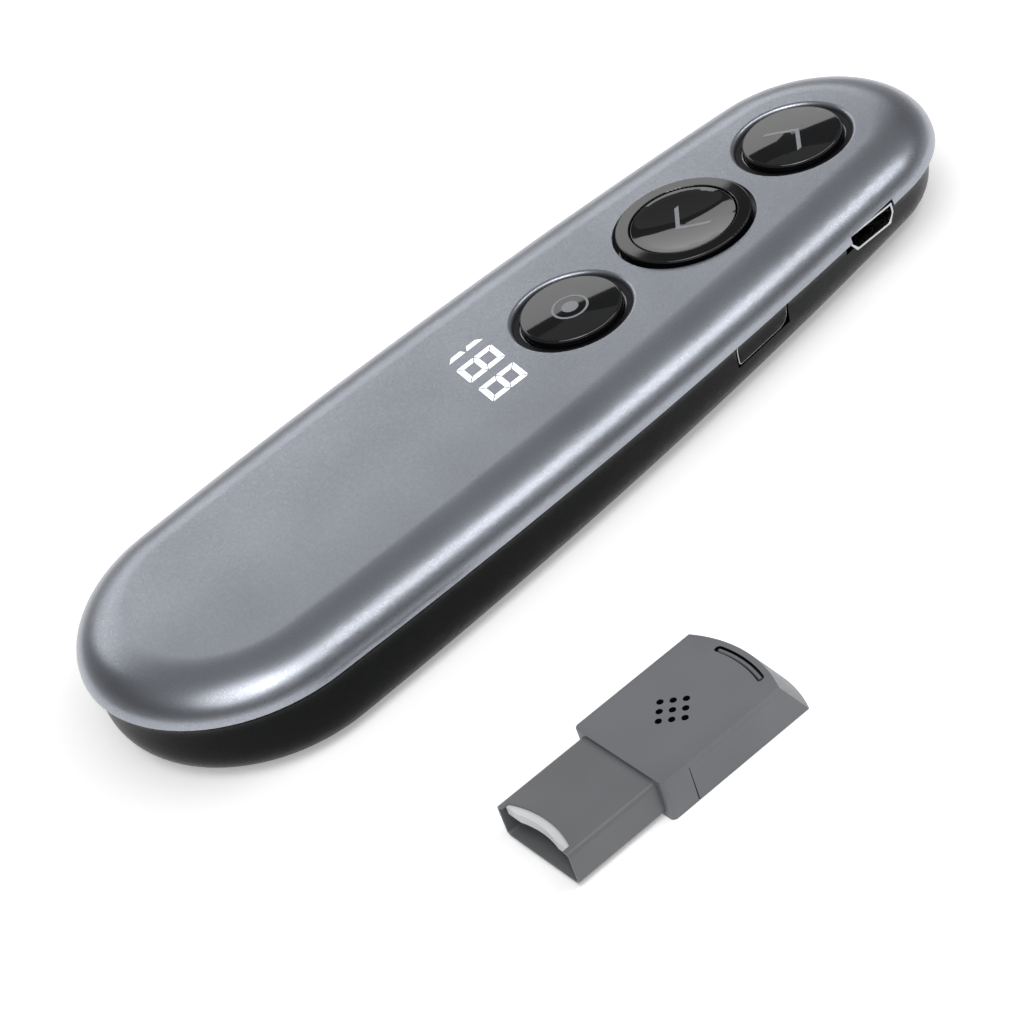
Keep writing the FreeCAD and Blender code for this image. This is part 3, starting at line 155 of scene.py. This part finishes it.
def sprayed_metallic_paint():
    """Sprayed grey paint with aluminium flake over ABS: satin, with a fine bright speckle."""
    made, tree, shader, place = start("sprayed_metallic_paint", Metallic=0.9,
                                      Coat_Weight=0.15, Coat_Roughness=0.35)
    flake = speckle(tree, place, FLAKE_MM, 2)
    cloud = speckle(tree, place, PAINT_CLOUD_MM, 1)
    shade = blend_of(tree, flake, "9A9EA7", "B4B8C1", 0.2, 0.8)
    wash = blend_of(tree, cloud, "EEEEEE", "FFFFFF")
    mixed = add(tree, "ShaderNodeMix", {"Factor": 1.0, "A": shade, "B": wash},
                data_type="RGBA", blend_type="MULTIPLY")
    tree.links.new(mixed.outputs["Result"], shader.inputs["Base Color"])
    tree.links.new(blend_of(tree, flake, 0.36, 0.26), shader.inputs["Roughness"])
    raise_grain(tree, shader, flake, depth_mm=0.002, strength=0.3)
    return made


def moulded_plastic(name, dark, light, roughness, grain_mm, depth_mm, sheen=0.5):
    """Injection-moulded plastic: even, with a fine spark-eroded grain that breaks up its sheen.

    The real grain is about 0.05 mm across; it is drawn coarser, so that it shows.
    """
    made, tree, shader, place = start(name, IOR=1.53, Specular_IOR_Level=sheen)
    grain = speckle(tree, place, grain_mm, 2)
    cloud = speckle(tree, place, PLASTIC_CLOUD_MM, 1)
    tree.links.new(blend_of(tree, cloud, dark, light), shader.inputs["Base Color"])
    tree.links.new(blend_of(tree, grain, roughness + 0.05, roughness - 0.05),
                   shader.inputs["Roughness"])
    raise_grain(tree, shader, grain, depth_mm, strength=0.6)
    return made


def polished_black(name, roughness=0.03):
    """Polished black polycarbonate: deep black with sharp reflections and faint moulding waves."""
    made, tree, shader, place = start(name, IOR=1.58, Coat_Weight=0.3, Coat_Roughness=0.02)
    wave = speckle(tree, place, POLISH_WAVE_MM, 1)
    tree.links.new(blend_of(tree, wave, "08090B", "0C0D10"), shader.inputs["Base Color"])
    tree.links.new(blend_of(tree, wave, roughness - 0.01, roughness + 0.01),
                   shader.inputs["Roughness"])
    raise_grain(tree, shader, wave, depth_mm=0.002, strength=0.2)
    return made


def printed_ink():
    """Light grey filled marks: matt ink, level with the gloss round it."""
    made, tree, shader, place = start("filled_grey_ink", IOR=1.5)
    grain = speckle(tree, place, 0.15, 1)
    tree.links.new(blend_of(tree, grain, "85888D", "999CA1"), shader.inputs["Base Color"])
    tree.links.new(blend_of(tree, grain, 0.5, 0.35), shader.inputs["Roughness"])
    return made


def lit_acrylic():
    """White acrylic light guide with lamps on behind it: glows almost evenly."""
    made, tree, shader, place = start("lit_white_acrylic", IOR=1.49, Roughness=0.3,
                                      Emission_Strength=1.25)
    glow = speckle(tree, place, 1.6, 1)
    tree.links.new(blend_of(tree, glow, "EEF4FF", "FFFFFF"), shader.inputs["Emission Color"])
    tree.links.new(blend_of(tree, glow, "E8ECF2", "FFFFFF"), shader.inputs["Base Color"])
    return made


def metal(name, dark, light, roughness, grain_mm, depth_mm):
    """Metal with a fine worked grain that spreads its reflections."""
    made, tree, shader, place = start(name, Metallic=1.0)
    grain = speckle(tree, place, grain_mm, 2)
    tree.links.new(blend_of(tree, grain, dark, light), shader.inputs["Base Color"])
    tree.links.new(blend_of(tree, grain, roughness + 0.06, roughness - 0.06),
                   shader.inputs["Roughness"])
    raise_grain(tree, shader, grain, depth_mm, strength=0.4)
    return made


def polished_glass(name):
    """Polished glass of the laser's lens and window: clear, slightly green."""
    made, tree, shader, place = start(name, IOR=1.52, Transmission_Weight=0.9)
    haze = speckle(tree, place, 0.8, 1)
    tree.links.new(blend_of(tree, haze, "CFE3E0", "E4F1EF"), shader.inputs["Base Color"])
    tree.links.new(blend_of(tree, haze, 0.02, 0.06), shader.inputs["Roughness"])
    return made


def solder_mask():
    """Green solder mask over copper tracks on glass-fibre board: glossy, with lighter tracks."""
    made, tree, shader, place = start("green_solder_mask", IOR=1.5)
    tracks = add(tree, "ShaderNodeTexBrick",
                 {"Vector": place, "Scale": 1 / (2.2 * MM), "Mortar Size": 0.08,
                  "Color1": colour("0E4A2B"), "Color2": colour("115534"),
                  "Mortar": colour("2C7B4E")})
    tree.links.new(tracks.outputs["Color"], shader.inputs["Base Color"])
    tree.links.new(blend_of(tree, speckle(tree, place, 0.3), 0.35, 0.25),
                   shader.inputs["Roughness"])
    raise_grain(tree, shader, tracks.outputs["Fac"], depth_mm=0.02, strength=0.5)
    return made


finishes = {
    "grey_paint": sprayed_metallic_paint(),
    "dark_plastic": moulded_plastic("satin_dark_abs", "0C0D0F", "111214", roughness=0.3,
                                    grain_mm=0.25, depth_mm=0.003, sheen=0.1),
    "gloss_black": polished_black("polished_black_polycarbonate"),
    "lamp_lens": polished_black("smoked_lamp_lens", roughness=0.04),
    "lit_white": lit_acrylic(),
    # This black nylon also serves as painted shade on the seam and collar bevels, the sound holes'
    # walls and the finger groove.
    "inner_black": moulded_plastic("black_nylon_and_painted_shade", "0C0C0E", "121214", roughness=0.5,
                                   grain_mm=0.3, depth_mm=0.01, sheen=0.2),
    "circuit_board": solder_mask(),
    "foam": moulded_plastic("black_foam", "101012", "1A1A1C", roughness=0.9,
                            grain_mm=0.5, depth_mm=0.08),
    "battery_foil": metal("battery_pouch_foil", "A9ABB0", "C2C4C8", roughness=0.38,
                          grain_mm=0.8, depth_mm=0.03),
    "tinned_metal": metal("tinned_steel", "B9BBBE", "D6D7DA", roughness=0.22,
                          grain_mm=0.2, depth_mm=0.003),
    "gold_contact": metal("gold_plated_bronze", "C79A45", "E2B961", roughness=0.25,
                          grain_mm=0.15, depth_mm=0.002),
    "brass_tube": metal("turned_brass", "B08A45", "CBA35A", roughness=0.3,
                        grain_mm=0.1, depth_mm=0.004),
    "clear_lens": polished_glass("polished_lens_glass"),
    "screw_steel": metal("blackened_steel", "2A2B2E", "3A3B3F", roughness=0.35,
                         grain_mm=0.2, depth_mm=0.004),
    "mark_white": printed_ink(),
    "switch_plastic": moulded_plastic("red_nylon", "6E1A16", "7E211B", roughness=0.45,
                                      grain_mm=0.2, depth_mm=0.004),
    "receiver_grey": moulded_plastic("matt_grey_abs", "707276", "77797D", roughness=0.38,
                                     grain_mm=0.25, depth_mm=0.004),
    "plug_metal": moulded_plastic("grey_lacquer_on_sheet_steel", "6C6D70", "747578",
                                  roughness=0.42, grain_mm=0.25, depth_mm=0.003),
    "white_plastic": moulded_plastic("white_polyester", "DADBDC", "E8E8E9", roughness=0.4,
                                     grain_mm=0.3, depth_mm=0.003),
}
# Bright metal on the side key's chamfers: a painted highlight that draws its light outline.
key_edge_painted_highlight = metal("painted_highlight_key_edge", "A4A6AA", "B8BABE", roughness=0.3,
                 grain_mm=0.15, depth_mm=0.002)


def finish(piece, slot):
    """Give a piece the finish of one of the record's slots."""
    piece.data.materials.clear()
    piece.data.materials.append(finishes[slot])


# Pieces: merged copies of CAD nodes, with their edges eased

MERGE_WITHIN = 0.001 * MM
FLAT_WITHIN = math.radians(0.2)
SMOOTH_BELOW = math.radians(28)
EASE_ABOVE = math.radians(35)


def skin(name, shape=None, second=None, look=None, weighted=True):
    """Merged copy of a CAD node that replaces it, smooth except at its real edges."""
    mesh = nodes[name].data.copy()
    form = bmesh.new()
    form.from_mesh(mesh)
    bmesh.ops.remove_doubles(form, verts=form.verts, dist=MERGE_WITHIN)
    if shape:
        shape(form)
    mesh.materials.clear()
    mesh.materials.append(look or finishes[slot_of[name]])
    if second:
        mesh.materials.append(second)
    for face in form.faces:
        face.smooth = True
    for edge in form.edges:
        edge.smooth = edge.calc_face_angle(0) < SMOOTH_BELOW
    form.to_mesh(mesh)
    form.free()
    for old in [item for item in mesh.attributes if item.name == "custom_normal"]:
        mesh.attributes.remove(old)
    piece = bpy.data.objects.new(name + "_skin", mesh)
    bpy.context.scene.collection.objects.link(piece)
    if weighted:
        weighing = piece.modifiers.new("keep_flats_flat", "WEIGHTED_NORMAL")
        weighing.keep_sharp = True
        weighing.weight = 100
    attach(piece, nodes[name]["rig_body"])
    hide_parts(name)
    return piece


def joined_flats(form):
    """Join the triangles of each flat face, so that its shading stays flat."""
    bmesh.ops.dissolve_limit(form, angle_limit=FLAT_WITHIN, verts=form.verts, edges=form.edges)


def every_edge(edge):
    return True


def eased(width_mm, chosen=every_edge, segments=2, slot_index=-1, clamped=True):
    """Way to ease the sharp edges of a form, all of them or those that are chosen."""
    def ease(form):
        joined_flats(form)
        edges = [edge for edge in form.edges
                 if edge.calc_face_angle(0) > EASE_ABOVE and chosen(edge)]
        bmesh.ops.bevel(form, geom=edges, offset=width_mm * MM, offset_type="OFFSET",
                        segments=segments, profile=0.5, affect="EDGES",
                        clamp_overlap=clamped, material=slot_index)
    return ease


def in_turn(*steps):
    """Several ways to shape a form, one after another."""
    def work(form):
        for step in steps:
            step(form)
    return work


# Edges of the clicker's case

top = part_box("upper_shell")[1].z
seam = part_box("upper_shell")[0].z
CORE_FROM, CORE_TO = -44 * MM, 47 * MM   # ends of the case's long middle line
WELL_REACH = 7.7 * MM                    # a little more than a well's radius
RING_HOLE_REACH = 9.2 * MM


def faces_out(edge):
    """Whether an edge bounds a face that looks away from the case's long middle line."""
    place = edge.verts[0].co
    core = Vector((max(CORE_FROM, min(CORE_TO, place.x)), 0, place.z))
    away = (place - core).normalized()
    return any(face.normal.dot(away) > 0.5 for face in edge.link_faces)


def on_top(edge):
    return all(vert.co.z > top - 0.05 * MM for vert in edge.verts)


def round_button(edge, name, reach):
    """Whether an edge lies within a distance of a button's middle."""
    low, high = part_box(name)
    middle = (low + high) / 2
    return all((vert.co.xy - middle.xy).length < reach for vert in edge.verts)


def at_well(edge):
    """Rims of the two button wells."""
    return on_top(edge) and any(round_button(edge, name, WELL_REACH)
                                for name in ("page_up_button", "pointer_button"))


def at_ring_hole(edge):
    """Rim of the hole round the raised ring."""
    return on_top(edge) and round_button(edge, "page_down_button", RING_HOLE_REACH)


def at_upper_seam(edge):
    """Lower outer edge of the top cover."""
    return all(vert.co.z < seam + 0.01 * MM for vert in edge.verts) and faces_out(edge)


def at_lower_seam(edge):
    """Outer top edge of the bottom case."""
    return all(vert.co.z > seam - 0.2 * MM for vert in edge.verts) and faces_out(edge)


# The top cover rolls over all along its edge as a quarter ellipse. Its highlight is so long and
# narrow that it bends at each facet, so its corners get the exact normals of the ellipse

LENGTH = 128 * MM
TAIL_RADIUS, NOSE_RADIUS, SIDE_RADIUS = 19.4 * MM, 16.4 * MM, 650 * MM
ROLL = 7 * MM                            # how far in from the edge the flat top starts
ROLL_WITHIN = 0.06 * MM                  # corners this near to the roll are on it
tail_x, nose_x = TAIL_RADIUS - LENGTH / 2, LENGTH / 2 - NOSE_RADIUS
side_run = ((SIDE_RADIUS - TAIL_RADIUS) ** 2 - (SIDE_RADIUS - NOSE_RADIUS) ** 2
            + (nose_x - tail_x) ** 2) / (2 * (nose_x - tail_x))
side_drop = math.sqrt((SIDE_RADIUS - TAIL_RADIUS) ** 2 - side_run ** 2)


def roll_at(place):
    """How far a place is off the rolled edge, and the edge's normal there."""
    lean = (place.x - tail_x - side_run) / (abs(place.y) + side_drop)
    if lean < -side_run / side_drop:
        middle, radius = Vector((tail_x, 0)), TAIL_RADIUS
    elif lean > (nose_x - tail_x - side_run) / side_drop:
        middle, radius = Vector((nose_x, 0)), NOSE_RADIUS
    else:
        middle = Vector((tail_x + side_run, -math.copysign(side_drop, place.y)))
        radius = SIDE_RADIUS
    away = place.xy - middle
    rise = max(0, min(1, (place.z - seam) / (top - seam)))
    level = math.sqrt(1 - rise ** 2)
    off = radius - away.length - ROLL * (1 - level)
    away.normalize()
    return off, Vector((away.x * (top - seam) * level, away.y * (top - seam) * level,
                        ROLL * rise)).normalized()


def follow_roll(piece):
    """Give the rolled edge its exact normals, and keep the flat top flat."""
    mesh = piece.data
    normals = [Vector(corner.vector) for corner in mesh.corner_normals]
    flat = {index for face in mesh.polygons
            if face.normal.z > 0.9999 and face.center.z > top - 0.01 * MM
            for index in face.vertices}
    for face in mesh.polygons:
        for loop in face.loop_indices:
            index = mesh.loops[loop].vertex_index
            if index in flat and face.normal.z > 0.5:
                normals[loop] = UP
                continue
            off, normal = roll_at(mesh.vertices[index].co)
            if abs(off) < ROLL_WITHIN and face.normal.dot(normal) > 0.6:
                normals[loop] = normal
    mesh.normals_split_custom_set(normals)


# Receiver. Places on it are measured from the middle of its plug's mouth

RECEIVER_PLACE = Matrix.Translation((-46.5 * MM, -51.3 * MM, 0)) @ Matrix.Rotation(
    math.radians(-2), 4, "Z")
RECEIVER_TOP = 5.5 * MM
COLLAR_FRONT, COLLAR_BACK = 11.9 * MM, 15.5 * MM
GAP_HALF_WIDTH, GAP_LOW, GAP_HIGH = 6.05 * MM, 0.4 * MM, 5.05 * MM
COLLAR_SEAM_HIGH = 5 * MM
COLLAR_WITHIN = 0.05 * MM
HOLES_REACH = 2.4 * MM
GROOVE_MIDDLE, GROOVE_RADIUS, GROOVE_WIDTH = 14.7 * MM, 14.35 * MM, 0.9 * MM
GROOVE_FROM, GROOVE_TO = -5 * MM, 3.2 * MM
GROOVE_WITHIN = 0.02 * MM
RIB_RADIUS, RIB_BELOW_TOP = 0.24 * MM, 0.3 * MM
RIB_START, RIB_SPAN = math.radians(-18.0), math.radians(28.5)
RIB_SIDES, RIB_STEPS = 16, 28
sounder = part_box("receiver_buzzer")
sounder_middle = (sounder[0] + sounder[1]) / 2


def in_holes(place):
    return (place.xy - sounder_middle.xy).length < HOLES_REACH


def in_groove(place):
    near = RECEIVER_PLACE.inverted() @ place
    reach = (near.xy - Vector((GROOVE_MIDDLE, 0))).length
    return (abs(reach - GROOVE_RADIUS) < GROOVE_WIDTH / 2 + GROOVE_WITHIN
            and GROOVE_FROM < near.y < GROOVE_TO)


def at_collar_gap(edge):
    """Edges of the collar round the plug, and along the seam behind the collar."""
    near = [RECEIVER_PLACE.inverted() @ vert.co for vert in edge.verts]
    mouth = all(abs(place.x - COLLAR_FRONT) < COLLAR_WITHIN and abs(place.y) < GAP_HALF_WIDTH
                and GAP_LOW < place.z < GAP_HIGH for place in near)
    back = all(abs(place.x - COLLAR_BACK) < COLLAR_WITHIN and place.z < COLLAR_SEAM_HIGH
               for place in near)
    return mouth or back


def at_cover_edge(edge):
    """Edges of the receiver's cover, but for those of its holes and groove."""
    return not any(in_holes(vert.co) or in_groove(vert.co) for vert in edge.verts)


def at_groove_end(edge):
    """Upright corners of the finger groove, which is round at both ends."""
    return (all(in_groove(vert.co) for vert in edge.verts)
            and (edge.verts[0].co - edge.verts[1].co).xy.length < GROOVE_WITHIN)


def painted_shade_in_recesses(form):
    """Turn the walls of the sound holes and the whole finger groove black: painted shade in these
    recesses.
    """
    for face in form.faces:
        place = face.calc_center_median()
        sunk = place.z < RECEIVER_TOP - 0.05 * MM
        if sunk and (in_groove(place) or (in_holes(place) and abs(face.normal.z) < 0.3)):
            face.material_index = 1


def finger_rib():
    """Rounded rib along the middle of the finger groove."""
    form = bmesh.new()
    bmesh.ops.create_circle(form, cap_ends=True, segments=RIB_SIDES, radius=RIB_RADIUS)
    bmesh.ops.transform(form, verts=form.verts, matrix=Matrix.Translation(
        (GROOVE_MIDDLE, 0, RECEIVER_TOP - RIB_BELOW_TOP)) @ Matrix.Rotation(
        RIB_START, 4, "Z") @ Matrix.Translation((GROOVE_RADIUS, 0, 0)) @ Matrix.Rotation(
        math.pi / 2, 4, "X"))
    bmesh.ops.spin(form, geom=form.verts[:] + form.edges[:] + form.faces[:],
                   cent=(GROOVE_MIDDLE, 0, 0), axis=UP, angle=RIB_SPAN, steps=RIB_STEPS)
    bmesh.ops.recalc_face_normals(form, faces=form.faces)
    bmesh.ops.transform(form, verts=form.verts, matrix=RECEIVER_PLACE)
    for face in form.faces:
        face.smooth = len(face.verts) == 4
    mesh = bpy.data.meshes.new("receiver_finger_rib")
    form.to_mesh(mesh)
    form.free()
    piece = bpy.data.objects.new("receiver_finger_rib", mesh)
    bpy.context.scene.collection.objects.link(piece)
    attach(piece, nodes["receiver_top_cover"]["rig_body"])
    finish(piece, "receiver_grey")


# Floor, lights and background

FLOOR_SIZE = 0.6
FLOOR_LIFT = 0.34  # brings the lit card up to white where it is seen or mirrored
NEAR_WALL, FAR_WALL, CEILING = 0.4, 0.3, 0.11


def lay_floor():
    """White card that keeps the object's shadow."""
    form = bmesh.new()
    bmesh.ops.create_grid(form, x_segments=1, y_segments=1, size=FLOOR_SIZE)
    mesh = bpy.data.meshes.new("floor")
    form.to_mesh(mesh)
    form.free()
    floor = bpy.data.objects.new("floor", mesh)
    bpy.context.scene.collection.objects.link(floor)
    made, tree, shader, place = start("pale_card", Roughness=0.9)
    shader.inputs["Base Color"].default_value = colour("FAFAFA")
    shader.inputs["Emission Color"].default_value = colour("FFFFFF")
    ray = add(tree, "ShaderNodeLightPath").outputs
    seen = add(tree, "ShaderNodeMath", {0: ray["Is Camera Ray"], 1: ray["Is Glossy Ray"]},
               operation="MAXIMUM").outputs[0]
    seen = add(tree, "ShaderNodeMath", {0: seen, 1: ray["Is Transmission Ray"]},
               operation="MAXIMUM").outputs[0]
    lift = add(tree, "ShaderNodeMath", {0: seen, 1: FLOOR_LIFT}, operation="MULTIPLY")
    tree.links.new(lift.outputs[0], shader.inputs["Emission Strength"])
    floor.data.materials.append(made)


def panel(name, place, size, radiance):
    """Soft flat lamp of an even brightness that faces down."""
    lamp = bpy.data.lights.new(name, "AREA")
    lamp.shape = "RECTANGLE"
    lamp.size, lamp.size_y = size
    lamp.energy = radiance * math.pi * size[0] * size[1]
    holder = bpy.data.objects.new(name, lamp)
    bpy.context.scene.collection.objects.link(holder)
    holder.location = place
    holder.visible_camera = False


def sky(name, direction, strength, spread_degrees):
    """Broad soft light from a part of the sky."""
    lamp = bpy.data.lights.new(name, "SUN")
    lamp.energy = strength
    lamp.angle = math.radians(spread_degrees)
    holder = bpy.data.objects.new(name, lamp)
    bpy.context.scene.collection.objects.link(holder)
    holder.rotation_euler = (-Vector(direction)).to_track_quat("-Z", "Y").to_euler()


def light_world():
    """Pale walls low down, dimmer at the far side, and a dim ceiling that the gloss mirrors."""
    world = bpy.data.worlds.new("studio")
    bpy.context.scene.world = world
    world.use_nodes = True
    tree = world.node_tree
    toward = add(tree, "ShaderNodeTexCoord").outputs["Generated"]
    parts = add(tree, "ShaderNodeSeparateXYZ", {"Vector": toward}).outputs
    walls = blend_of(tree, parts["Y"], NEAR_WALL, FAR_WALL, low_at=0.05, high_at=0.5)
    height = blend_of(tree, parts["Z"], 0.0, 1.0, low_at=0.16, high_at=0.36)
    mixed = add(tree, "ShaderNodeMix",
                {"Factor": height, "A": walls, "B": (CEILING, CEILING, CEILING, 1)},
                data_type="RGBA")
    tree.links.new(mixed.outputs["Result"], tree.nodes["Background"].inputs["Color"])


# The whole

for name, node in nodes.items():
    finish(node, slot_of[name])
for name in ("page_up_button", "page_down_button", "pointer_button", "page_up_mark",
             "page_down_mark", "pointer_mark", "case_screws", "nose_window"):
    skin(name)
for name, width_mm in {"usb_plug_shell": 0.07, "charging_port_shell": 0.07,
                       "usb_plug_insulator": 0.05}.items():
    skin(name, eased(width_mm))
skin("page_down_bezel", joined_flats)
follow_roll(skin("upper_shell", in_turn(eased(0.42, at_well, segments=3),
                                        eased(0.1, at_ring_hole),
                                        eased(0.1, at_upper_seam)), weighted=False))
# The black bevel along the bottom case's top edge is painted shade in the seam under the top cover.
skin("lower_shell", eased(0.2, at_lower_seam, slot_index=1), finishes["inner_black"])
# The key's bevels get the bright metal: a painted highlight along its outline.
skin("side_key", eased(0.16, slot_index=1, clamped=False), key_edge_painted_highlight,
     look=finishes["dark_plastic"])
# Black bevels at the collar's mouth and back seam are painted shade in the gaps.
skin("receiver_top_cover", in_turn(eased(0.4, at_groove_end, segments=4),
                                   eased(0.14, at_collar_gap, slot_index=1),
                                   eased(0.22, at_cover_edge), painted_shade_in_recesses),
     finishes["inner_black"])
# Black bevels along the collar's back seam are painted shade in the gap.
skin("receiver_bottom_cover", in_turn(eased(0.14, at_collar_gap, slot_index=1), eased(0.16)),
     finishes["inner_black"])
finger_rib()

place_camera()
lay_floor()
light_world()
# This panel's near edge draws the sharp change along the gloss, right through the buttons
panel("back_panel", place=(0.45, 1.18, 0.60), size=(1.5, 0.9), radiance=1.5)
# This one draws the bright stripe along the near edge
panel("near_panel", place=(0.3, -0.33, 0.72), size=(1.3, 0.34), radiance=2.5)
# This one draws the highlight round the tail
sky("tail_sky", (-0.36, -0.27, 0.89), strength=0.85, spread_degrees=42)
sky("high_sky", (0.1, -0.1, 1), strength=0.3, spread_degrees=110)
bpy.context.scene.view_settings.view_transform = "Standard"
